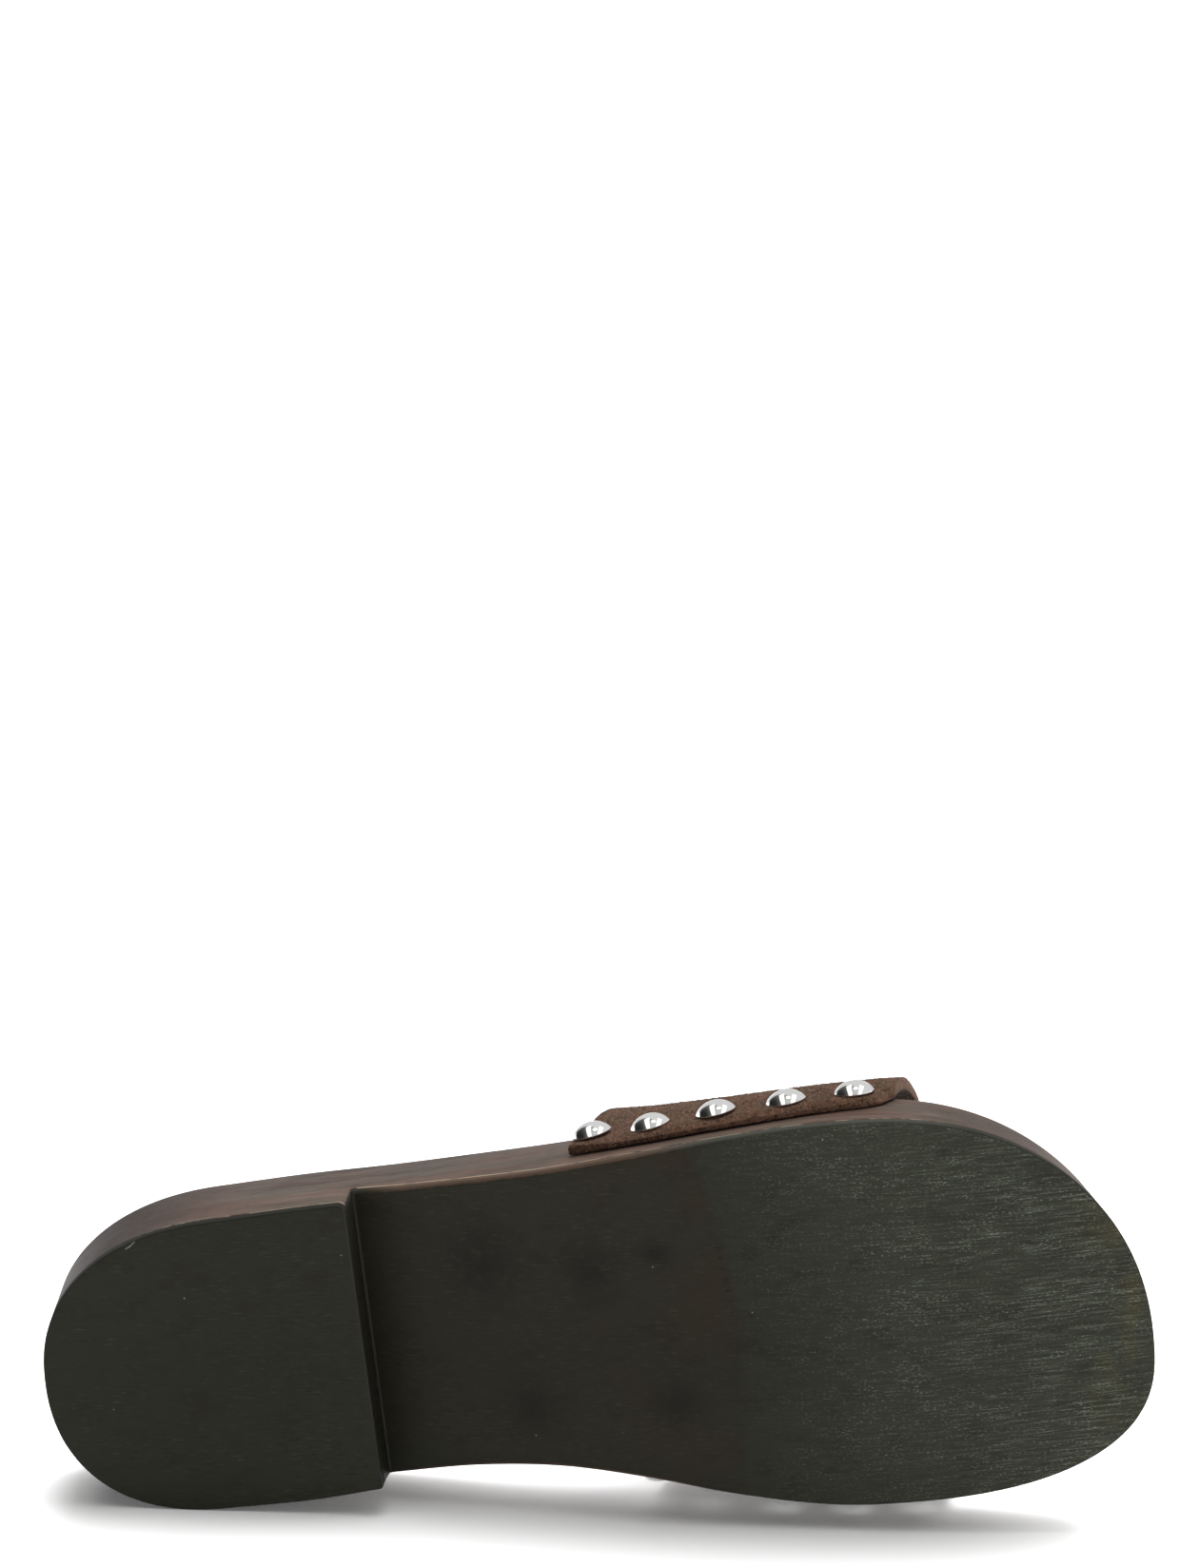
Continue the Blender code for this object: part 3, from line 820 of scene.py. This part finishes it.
def makeBase():
    breast = last["breast"]
    corner = breastStations()
    stations = heelStations() + stretch(last["sides"][0][0], corner[0]) + corner
    heelCount = len(stations)
    stations += stretch(breast + baseSizes["breastGap"], last["sides"][-1][0]) + toeStations()
    chamfer = baseSizes["chamfer"]
    rim = baseSizes["rimRadius"]

    def rowsAt(i, x, side):
        onHeel = i < heelCount
        cut = cornerCut(x, breast, last["breastCorner"][side]) if onHeel else 0.0
        deck = treadZ(breast + baseSizes["breastGap"]) + last["outsole"] + baseSizes["deck"]

        def under(at):
            if onHeel:
                return last["lift"] + baseSizes["liftGap"]
            return treadZ(at) + last["outsole"] + baseSizes["outsoleGap"]

        def block(share):  # heights between the lower edge and the deck
            if onHeel:
                return lambda at: under(at) + chamfer + (deck - under(at) - chamfer) * share
            return lambda at: under(at) + chamfer + baseSizes["footing"] * share

        def wall(share):
            return lambda at: block(1.0)(at) + (rimZ(x) - rim - block(1.0)(at)) * share

        plain = (0.0, 0.0)
        worn = (1.0, 0.0)
        rows = [(share, chamfer + cut, under, plain) for share in baseSizes["underShares"]]
        rows += [(1.0, chamfer + cut, under, worn), (1.0, cut, block(0.0), worn)]
        rows += [(1.0, cut, lambda at: block(0.0)(at) + baseSizes["wearEnds"], plain)]
        rows += [(1.0, cut * (1 - share), block(share), plain) for share in baseSizes["blockShares"]]
        for k in range(baseSizes["wallSteps"] + 1):
            rows.append((1.0, 0.0, wall(k / baseSizes["wallSteps"]), plain))
        for k in range(1, baseSizes["rimSteps"] + 1):
            angle = math.pi / 2 * k / baseSizes["rimSteps"]
            top = rimZ(x) - rim * (1 - math.sin(angle))
            rows.append((1.0, rim * (1 - math.cos(angle)), level(top), plain))
        for k in range(1, baseSizes["bedSteps"] + 1):
            share = 1 - k / baseSizes["bedSteps"]
            drop = dishDepth(x) * (1 - share ** last["bedFullness"])
            rows.append((share, rim, level(rimZ(x) - drop), (0.0, 1.0)))
        return rows

    bm = loftSections(stations, rowsAt, ("joint", "bed"))
    finishPiece(bm, "wood_base", wood, ["clog_base"])


makeBase()

# The rubber sheets
sheetSizes = {
    # station, radius
    "outsoleEdge": ((75.0, 1.3), (140.0, 1.2), (168.0, 0.75), (215.0, 0.6), (259.9, 0.5)),
    "liftEdge": 0.35,
    "edgeSteps": 5,
    "acrossSteps": 10,
    "lipHeight": 0.3,  # the bead along the outsole's end at the breast
    "lipWidth": 0.8,
    "lipSteps": 8,
    "breastOverlap": 0.04,
    "frontEdge": 0.2,  # radius of the lift's front edge
    "topInset": 0.1,
    "sideShares": (0.5, 0.95),
    "topShares": (1.0, 0.5, 0.0),
}


def sheetRows(low, thickness, edge, cut=0.0):
    rows = []
    for k in range(sheetSizes["acrossSteps"] + 1):
        rows.append((k / sheetSizes["acrossSteps"], edge + cut, low, (0.0,)))
    for k in range(1, sheetSizes["edgeSteps"] + 1):
        angle = math.pi / 2 * k / sheetSizes["edgeSteps"]
        rise = edge * (1 - math.cos(angle))
        side = k / sheetSizes["edgeSteps"]
        rows.append((1.0, cut + edge * (1 - math.sin(angle)), lambda x, rise=rise: low(x) + rise, (side,)))
    for share in sheetSizes["sideShares"]:
        rows.append((1.0, cut, lambda x, share=share: low(x) + thickness * share, (1.0,)))
    for share in sheetSizes["topShares"]:
        rows.append((share, cut + sheetSizes["topInset"], lambda x: low(x) + thickness, (1.0,)))
    return rows


def makeOutsole():
    start = last["breast"] - sheetSizes["breastOverlap"]
    steps = sheetSizes["lipSteps"]
    stations = [start + sheetSizes["lipWidth"] * k / steps for k in range(steps)]
    stations += stretch(start + sheetSizes["lipWidth"], last["sides"][-1][0]) + toeStations()

    def rowsAt(i, x, side):
        bead = math.sin(math.pi * i / steps) * sheetSizes["lipHeight"] if i < steps else 0.0
        edge = smoothRow(sheetSizes["outsoleEdge"], 1, x)
        return sheetRows(lambda at: treadZ(at) - bead, last["outsole"], edge)

    bm = loftSections(stations, rowsAt, ("side",))
    finishPiece(bm, "rubber_outsole", rubber, ["outsole"])


def makeLift():
    corner = breastStations([sheetSizes["frontEdge"]])
    stations = heelStations() + stretch(last["sides"][0][0], corner[0]) + corner

    def rowsAt(i, x, side):
        rise = cornerCut(x, last["breast"], sheetSizes["frontEdge"])
        cut = cornerCut(x, last["breast"], last["breastCorner"][side])
        return sheetRows(level(rise), last["lift"] - rise, sheetSizes["liftEdge"], cut)

    bm = loftSections(stations, rowsAt, ("side",))
    finishPiece(bm, "rubber_heel_lift", rubber, ["heel_lift"])


makeOutsole()
makeLift()

# The suede band
band = {
    "edges": (  # turn over the foot, stations of the rear and front edges
        (0.0, 126.0, 199.0),
        (0.1, 128.8, 202.0),
        (0.17, 132.2, 204.4),
        (0.25, 136.8, 206.6),
        (0.5, 145.0, 211.4),
        (0.75, 143.0, 213.0),
        (1.0, 135.3, 208.3),
    ),
    "thickness": 2.5,
    "gap": 0.3,
    "edgeLow": 9.8,
    "edgeRise": 4.0,
    "corner": 6.0,
    "wallTurn": 0.12,
    "wallHeight": 14.0,
    "gape": 3.2,
    "bulge": (0.6, 0.18, 0.08),  # how far the outer side stands out, at which turn, over how much of it
    "skive": (0.88, 4.5, 0.32),  # how much thinner the lower edges are, below what height, how far along
    "frontRoll": 4.0,  # how far back from the front edge the suede thins
    "rollFade": 8.0,  # over what height the front's thinning ends
    "crownRear": 78.0,
    "crownFront": 63.0,
    "crownShift": 5.0,
    "springDrop": 4.0,
    "width": 73.0,
    "probe": 0.5,  # how far out a point is taken, to tell which way the band faces
    "wallSteps": 24,
    "archSteps": 120,
    "strips": 84,
    "insideStrips": 40,
    "roundSteps": 4,
    "edgeRadius": 0.45,
    "waver": 0.25,  # how unevenly the edges are cut
    "waverGrain": (5.0, 30.0, 20.0),
    "waverFade": (60.0, 40.0),  # how fast it ends away from the feet, and from the front and rear
}

nails = {
    "diameter": 9.6,
    "height": {"outer": 2.55, "inner": 3.0},
    "aboveEdge": 7.7,
    "lean": 2.5,  # degrees back towards the heel
    "rings": 14,
    "sides": 64,
    "skirt": 0.35,
    "footInset": 0.25,
    "footRise": 0.1,
    "edgeRound": 0.05,
    # station, how proud
    "outer": ((131.7, 0.25), (145.7, -0.25), (161.4, 0.14), (177.8, -0.1), (193.6, 0.0)),
    "inner": ((140.9, 0.0), (154.7, 0.0), (171.0, 0.0), (186.6, 0.0), (201.6, 0.0)),
    "nodes": {"outer": "stud_lateral_", "inner": "stud_medial_"},
    "dimple": (0.5, 3.2),  # how deep the suede is drawn in round a nail, and how far out
}


def bandEdgeZ(along):
    return band["edgeLow"] + band["edgeRise"] * (2 * along - 1) ** 2


def bandPoint(turn, along, off):
    rear = smoothRow(band["edges"], 1, turn)
    front = smoothRow(band["edges"], 2, turn)
    fromFoot = min(turn, 1 - turn)
    onWall = fromFoot < band["wallTurn"]
    spring = rimZ(rear + (front - rear) * along) - band["springDrop"]
    low = bandEdgeZ(along)
    share = fromFoot / band["wallTurn"]
    height = share * (spring - low)
    if onWall and height < band["corner"]:
        radius = band["corner"]
        front -= radius - math.sqrt(radius**2 - (radius - height) ** 2)
    x = rear + (front - rear) * along
    outer = sideY(x, "outer") - off
    inner = sideY(x, "inner") + off
    if onWall:
        return Vector((x, outer if turn < 0.5 else inner, low + height))
    angle = math.pi * (turn - band["wallTurn"]) / (1 - 2 * band["wallTurn"])
    crown = (outer + inner) / 2 + band["crownShift"]
    rise = band["crownRear"] + (band["crownFront"] - band["crownRear"]) * along + off - spring
    reach = (outer if angle < math.pi / 2 else inner) - crown
    gape = band["gape"] * (2 * along - 1) ** 2 * abs(math.sin(2 * angle))
    y = crown + (reach + math.copysign(gape, reach)) * abs(math.cos(angle))
    return Vector((x, y, spring + rise * math.sin(angle)))


def bandFacing(turn, along, off, spot):
    return (bandPoint(turn, along, off + band["probe"]) - spot).normalized()


def nailSeat(side, station, proud):  # where a nail sits on the band's side, and the way that it faces
    sign = 1 if side == "inner" else -1
    ends = band["edges"][-1] if side == "inner" else band["edges"][0]
    along = (station - ends[1]) / (ends[2] - ends[1])
    ahead = sideY(station + 1, side) - sideY(station - 1, side)
    facing = Vector((-sign * ahead, sign * 2.0, 0.0)).normalized()
    facing.rotate(Matrix.Rotation(math.radians(sign * nails["lean"]), 3, "Z"))
    z = bandEdgeZ(along) + nails["aboveEdge"]
    off = band["gap"] + band["thickness"] + band["gap"] + proud
    return Vector((station, sideY(station, side), z)) + facing * off, facing


seats = [nailSeat(side, *place) for side in ("outer", "inner") for place in nails[side]]


def thinning(height, along):  # 1 at an edge that is pared thin, 0 where the suede is full
    _, reach, whole = band["skive"]
    below = max(1 - height / reach, 0.0) ** 2 * min(max(along / whole, 0.0), 1.0)
    ahead = max(1 - (1 - along) * band["width"] / band["frontRoll"], 0.0) ** 2
    return max(below, ahead * min(max((band["wallHeight"] - height) / band["rollFade"], 0.0), 1.0))


def drawnIn(turn, along, spot):  # the outer face's dimples and thin edges, less its bulge
    depth, reach = nails["dimple"]
    inward = sum(depth * math.exp(-(((spot - seat).length / reach) ** 2) / 2) for seat, _ in seats)
    height = min(turn, 1 - turn) / band["wallTurn"] * band["wallHeight"]
    inward += band["thickness"] * band["skive"][0] * thinning(height, along)
    out, middle, spread = band["bulge"]
    return inward - out * math.exp(-(((turn - middle) / spread) ** 2))


def bandRows():  # turn over the foot and how far the thickness is open, rounded off at both feet
    radius = band["edgeRadius"]
    closed = 1 - 2 * radius / band["thickness"]
    foot = [(0.0, 0.0), (0.0, closed * 0.5)]
    for k in range(band["roundSteps"] + 1):
        angle = math.pi / 2 * k / band["roundSteps"]
        rise = radius * (1 - math.cos(angle))
        turn = band["wallTurn"] * rise / band["wallHeight"]
        foot.append((turn, closed + (1 - closed) * math.sin(angle)))
    first = foot[-1][0]
    rise = (band["wallTurn"] - first) / band["wallSteps"]
    wall = [(first + rise * k, 1.0) for k in range(1, band["wallSteps"])]
    span = 1 - 2 * band["wallTurn"]
    arch = [(band["wallTurn"] + span * k / band["archSteps"], 1.0) for k in range(band["archSteps"] + 1)]
    return foot + wall + arch + [(1 - turn, open_) for turn, open_ in reversed(foot + wall)]


def bandLoop():  # round one strip of the band: along, share of the thickness, cut edge, inside
    radius = band["edgeRadius"]
    inset = radius / band["width"]
    depth = radius / band["thickness"]
    strips = band["strips"]
    inside = band["insideStrips"]
    arc = [math.pi / 2 * k / band["roundSteps"] for k in range(1, band["roundSteps"] + 1)]
    front = []
    for angle in arc:
        along = 1 - inset + inset * math.sin(angle)
        front.append((along, 1 - depth * (1 - math.cos(angle)), math.sin(angle), 0.0))
    front += [(along, 1 - share, cut, 0.5) for along, share, cut, _ in reversed(front)]
    rear = [(1 - along, 1 - share, cut, within) for along, share, cut, within in front]
    loop = [(inset + (1 - 2 * inset) * k / strips, 1.0, 0.0, 0.0) for k in range(strips + 1)]
    loop += front
    loop += [(1 - inset - (1 - 2 * inset) * k / inside, 0.0, 0.0, 1.0) for k in range(inside + 1)]
    loop += rear
    return loop + loop[:1]


def makeBand():
    rows = bandRows()
    loop = bandLoop()

    def place(i, j):
        turn, open_ = rows[i]
        along, share, cut, within = loop[j]
        share = 0.5 + (share - 0.5) * open_
        off = band["gap"] + band["thickness"] * share
        spot = bandPoint(turn, along, off)
        if share > 0.5:
            out = bandFacing(turn, along, off, spot)
            spot -= out * drawnIn(turn, along, spot) * (share - 0.5) * 2
            height = min(turn, 1 - turn) / band["wallTurn"] * band["wallHeight"]
            cut = max(cut, thinning(height, along))
        length, turns, strips = band["waverGrain"]
        fromFeet, fromEnds = band["waverFade"]
        waver = noise.noise(Vector((spot.x / length, turn * turns, along * strips))) * band["waver"]
        spot.z += waver * max(0.0, 1 - fromFeet * min(turn, 1 - turn))
        spot.x += waver * max(0.0, 1 - fromEnds * min(along, 1 - along))
        return spot, (max(cut, min(1.0, 2 * (1 - open_))), within)

    bm = wrapGrid(len(rows), len(loop), place, ("cut", "inside"))
    finishPiece(bm, "suede_band", suede, ["strap"], sharpAngle=60.0)


makeBand()


def makeNail(side, number, place):
    seat, facing = nailSeat(side, *place)
    radius = nails["diameter"] / 2
    height = nails["height"][side]
    ball = (radius**2 + height**2) / (2 * height)
    sweep = math.asin(radius / ball)
    bm = bmesh.new()
    foot = -nails["skirt"]
    edge = nails["edgeRound"]
    profile = [Vector((0, 0, foot)), Vector((radius - nails["footInset"], 0, foot))]
    profile += [Vector((radius - edge, 0, foot + nails["footRise"])), Vector((radius, 0, -edge))]
    for k in range(nails["rings"] + 1):
        angle = sweep * (1 - k / nails["rings"])
        profile.append(Vector((ball * math.sin(angle), 0, ball * (math.cos(angle) - 1) + height)))
    verts = [bmesh.ops.create_vert(bm, co=spot)["vert"][0] for spot in profile]
    edges = [bm.edges.new(pair) for pair in zip(verts, verts[1:])]
    turning = {"axis": (0, 0, 1), "cent": (0, 0, 0), "angle": math.tau, "steps": nails["sides"]}
    bmesh.ops.spin(bm, geom=verts + edges, use_merge=True, **turning)
    aim = Matrix.Translation(seat) @ facing.to_track_quat("Z", "Y").to_matrix().to_4x4()
    bmesh.ops.transform(bm, matrix=aim, verts=bm.verts)
    node = nails["nodes"][side] + str(number)
    finishPiece(bm, f"nail_{side}_{number}", steel, [node], sharpAngle=30.0)


for side in ("outer", "inner"):
    for number, place in enumerate(nails[side], start=1):
        makeNail(side, number, place)

# The nap: short fibres that stand off the suede and blur its outline
nap = {
    "fibres": 40000,
    "length": (0.15, 0.65),
    "width": 0.05,
    "corner": (0.5, 0.87),  # a fibre has three sides
    "lean": 0.54,
    "root": 0.12,
    "seed": 11,
}


def makeNap():
    draw = random.Random(nap["seed"])
    points = []
    faces = []
    outside = band["gap"] + band["thickness"]
    back, beside = nap["corner"]
    for _ in range(nap["fibres"]):
        turn = draw.random()
        along = draw.random()
        spot = bandPoint(turn, along, outside)
        out = bandFacing(turn, along, outside, spot)
        spot = spot - out * (drawnIn(turn, along, spot) + nap["root"])
        lean = Vector((draw.gauss(0, 1), draw.gauss(0, 1), draw.gauss(0, 1)))
        lean -= out * lean.dot(out)
        way = (out + lean * nap["lean"]).normalized()
        tip = spot + way * (nap["root"] + draw.uniform(*nap["length"]))
        flat = way.orthogonal().normalized() * nap["width"]
        other = way.cross(flat)
        first = len(points)
        rear = spot - flat * back
        points += [spot + flat, rear + other * beside, rear - other * beside, tip]
        a, b, c, d = range(first, first + 4)
        faces += [(a, c, b), (a, b, d), (b, c, d), (c, a, d)]
    mesh = bpy.data.meshes.new("suede_nap")
    mesh.from_pydata([toRow @ point for point in points], [], faces)
    mesh.materials.append(fibre)
    piece = addObject("suede_nap", mesh)
    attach(piece, "root")
    print("suede_nap", len(faces), "faces")


makeNap()

# The studio: a white floor and backdrop, soft light from above and behind, two strip lamps and a round one
# overhead that show in the nails, and darkness on the left
studio = {
    "floorSize": 40.0,
    "floorColour": (0.9, 0.9, 0.9, 1.0),
    "floorRoughness": 0.9,
    "floorGlow": 0.06,  # the floor gives off a little light of its own
    "suns": (  # strength, spread, tilt back and sideways
        (4.5, 45.0, -20.0, 7.0),
        (3.6, 50.0, -60.0, 12.0),
    ),
    "skyBackLow": (0.6, 0.6, 0.6, 1.0),
    "skyBackHigh": (0.72, 0.72, 0.72, 1.0),
    "skyTop": (0.28, 0.29, 0.28, 1.0),
    "skyTopFront": (0.62, 0.62, 0.61, 1.0),
    "skyLeft": (0.02, 0.02, 0.018, 1.0),
    "skyFrontLow": (2.4, 2.4, 2.4, 1.0),
    "skyLeftLow": (2.0, 2.0, 2.0, 1.0),
    "skyRightLow": (3.0, 3.0, 3.0, 1.0),
    "skyFrontHigh": (0.1, 0.1, 0.1, 1.0),
    "lampWhite": (1.5, 1.5, 1.48, 1.0),
    "strips": ((-0.63, -0.27), (0.2, 0.48)),  # their two long edges, as slopes to the side
    "stripBlur": 0.02,
    "roundLamp": (-0.02, 0.06, 0.17),  # its place and radius, as slopes
    "lowestLamp": 0.1,  # below this height the slopes stop growing
    "backSlant": (1.15, 0.24),  # how the backdrop's edge leans to the side and up
    "spans": {  # along the way that a ray goes: east, north or up
        "backRise": (0.12, 0.5),
        "leftFade": (-0.85, -0.15),
        "topFront": (0.2, -0.3),
        "topFrontLeft": (-0.5, -0.1),
        "back": (-0.14, -0.02),
        "frontRise": (0.16, 0.32),
        "front": (-0.4, -0.62),
        "low": (0.3, 0.18),
        "left": (-0.6, -0.75),
        "right": (0.6, 0.75),
    },
    "stretches": {"strips": (-0.65, -0.55, 0.58, 0.66)},
}


def makeFloor():
    bm = bmesh.new()
    bmesh.ops.create_grid(bm, x_segments=4, y_segments=4, size=studio["floorSize"] / 2)
    mesh = bpy.data.meshes.new("studio_floor")
    bm.to_mesh(mesh)
    bm.free()
    recipe = startMaterial("studio_floor_white", studio)
    recipe.set(Base_Color="floorColour", Roughness="floorRoughness", Specular_IOR_Level=0.0)
    recipe.set(Emission_Color="floorColour", Emission_Strength="floorGlow")
    mesh.materials.append(recipe.owner)
    floor = addObject("studio_floor", mesh)


def makeSun(name, strength, spread, back, aside):
    light = bpy.data.lights.new(name, "SUN")
    light.energy = strength
    light.angle = math.radians(spread)
    sun = addObject(name, light)
    sun.location = (0, 0, 2)
    sun.rotation_euler = (math.radians(back), math.radians(aside), 0.0)
    sun.visible_glossy = False


def makeAir():
    world = bpy.data.worlds.new("studio_air")
    bpy.context.scene.world = world
    recipe = Recipe(world, studio, "Background")
    east, north, up = recipe.parts(recipe.add("TexCoord", {}, {}))
    back = recipe.mix(recipe.span("backRise", up), "skyBackLow", "skyBackHigh")
    top = recipe.mix(recipe.span("leftFade", east), "skyLeft", "skyTop")
    topFront = recipe.span("topFront", north) * recipe.span("topFrontLeft", east)
    top = recipe.mix(topFront, top, "skyTopFront")
    eastSlant, upSlant = studio["backSlant"]
    air = recipe.mix(recipe.span("back", north + eastSlant * east - upSlant * up), top, back)
    front = recipe.mix(recipe.span("frontRise", up), "skyFrontLow", "skyFrontHigh")
    air = recipe.mix(recipe.span("front", north), air, front)
    low = recipe.span("low", up)
    air = recipe.mix(low * recipe.span("left", east), air, "skyLeftLow")
    air = recipe.mix(low * recipe.span("right", east), air, "skyRightLow")
    overhead = up.maths("MAXIMUM", up, studio["lowestLamp"])
    aside = east / overhead
    along = north / overhead
    length = recipe.within("strips", along)
    blur = studio["stripBlur"]
    for left, right in studio["strips"]:
        fromLeft = recipe.ease(aside, left - blur, left + blur)
        fromRight = recipe.ease(aside, right + blur, right - blur)
        air = recipe.mix(length * fromLeft * fromRight, air, "lampWhite")
    lampEast, lampNorth, radius = studio["roundLamp"]
    off = (aside - lampEast) * (aside - lampEast) + (along - lampNorth) * (along - lampNorth)
    recipe.set(Color=recipe.mix(recipe.ease(off, radius**2, 0.75 * radius**2), air, "lampWhite"))


makeFloor()
for number, settings in enumerate(studio["suns"], start=1):
    makeSun(f"soft_sun_{number}", *settings)
makeAir()

# The camera stands low in front of the sole, a little to the toe's side, and looks over the shoe
view = {
    "place": (0.10892, -1.38795, 0.40876),
    "turn": (80.2235, -0.4609, 4.6390),
    "lens": 137.184,
    "sensor": 36.0,
    "reach": 100.0,
}
camera = addObject("camera", bpy.data.cameras.new("camera"))
camera.data.lens = view["lens"]
camera.data.sensor_width = view["sensor"]
camera.data.clip_end = view["reach"]
camera.location = view["place"]
camera.rotation_euler = [math.radians(angle) for angle in view["turn"]]
bpy.context.scene.camera = camera
bpy.context.scene.view_settings.view_transform = "Standard"
print("studio and camera set")
